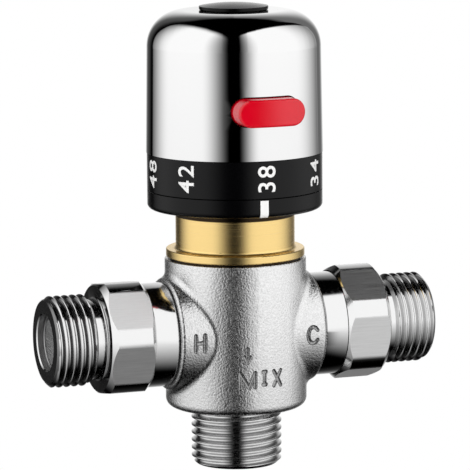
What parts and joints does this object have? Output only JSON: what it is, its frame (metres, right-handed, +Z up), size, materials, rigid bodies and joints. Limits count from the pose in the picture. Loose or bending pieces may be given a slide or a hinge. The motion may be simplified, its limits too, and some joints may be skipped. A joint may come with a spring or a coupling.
{
  "type": "thermostatic shower mixer",
  "caption": "Upright thermostatic water mixer with opposed threaded inlets, a threaded outlet below, a chromed dial handle with a red safety button and a numbered ring.",
  "frame": {"origin": "centre of the outlet's end face, on the handle axis", "axes": "+Z up the handle axis, -X out of the hot inlet, +X out of the cold inlet, -Y the front with the index mark and the button"},
  "size_m": [0.0924, 0.0443, 0.107],
  "materials": {
    "cast_nickel": "bead-blasted nickel plate",
    "turned_nickel": "turned and polished nickel plate",
    "satin_brass": "turned brass",
    "chrome_plate": "mirror chrome plate",
    "black_plastic": "satin black",
    "red_plastic": "glossy red",
    "white_plastic": "moulded white",
    "grey_plastic": "moulded grey",
    "seal_rubber": "black rubber",
    "steel": "stainless steel"
  },
  "bodies": {
    "valve": {"valve_body": "cast_nickel", "hot_union": "turned_nickel", "cold_union": "turned_nickel", "hot_gasket": "seal_rubber", "cold_gasket": "seal_rubber", "hot_strainer": "steel", "cold_strainer": "steel", "hot_check_cage": "white_plastic", "cold_check_cage": "white_plastic", "hot_check_spring": "steel", "cold_check_spring": "steel", "cartridge_sleeve": "grey_plastic", "sleeve_lower_o_ring": "seal_rubber", "sleeve_middle_o_ring": "seal_rubber", "return_spring": "steel", "bonnet": "satin_brass", "bonnet_o_ring": "seal_rubber", "stop_ring": "black_plastic"},
    "handle": {"handle_shell": "chrome_plate", "handle_core": "black_plastic", "scale_ring": "black_plastic", "handle_screw": "steel", "top_cap": "black_plastic", "spindle": "satin_brass", "spindle_o_ring": "seal_rubber", "spindle_clip": "steel", "button_spring": "steel"},
    "button": {"safety_button": "red_plastic"},
    "pusher": {"pusher": "satin_brass", "overload_cup": "grey_plastic", "overload_spring": "steel"},
    "shuttle": {"shuttle": "grey_plastic", "wax_element": "satin_brass", "wax_pin": "steel"},
    "hot_poppet": {"hot_check_poppet": "white_plastic"},
    "cold_poppet": {"cold_check_poppet": "white_plastic"}
  },
  "joints": [
    {"name": "handle_turn", "type": "hinge", "parent": "valve", "child": "handle", "pos_m": [0, 0, 0.08395], "axis": [0, 0, 1], "range_deg": [-150, 90]},
    {"name": "button_press", "type": "slide", "parent": "handle", "child": "button", "axis": [-0.0349, 0.9994, 0], "range_m": [0, 0.0025], "stiffness_N_per_m": 800, "springref_m": -0.003, "deforming": ["button_spring"]},
    {"name": "pusher_travel", "type": "slide", "parent": "handle", "child": "pusher", "axis": [0, 0, 1], "range_m": [-0.00101, 0.00061]},
    {"name": "shuttle_travel", "type": "slide", "parent": "valve", "child": "shuttle", "axis": [0, 0, 1], "range_m": [-0.00101, 0.00061], "deforming": ["return_spring"]},
    {"name": "hot_check_open", "type": "slide", "parent": "valve", "child": "hot_poppet", "axis": [1, 0, 0], "range_m": [0, 0.0025], "stiffness_N_per_m": 60, "springref_m": -0.005, "deforming": ["hot_check_spring"]},
    {"name": "cold_check_open", "type": "slide", "parent": "valve", "child": "cold_poppet", "axis": [-1, 0, 0], "range_m": [0, 0.0025], "stiffness_N_per_m": 60, "springref_m": -0.005, "deforming": ["cold_check_spring"]}
  ],
  "couplings": [
    {"joint": "pusher_travel", "follows": "handle_turn", "m_per_rad": 0.00038197},
    {"joint": "shuttle_travel", "follows": "handle_turn", "m_per_rad": 0.00038197}
  ]
}
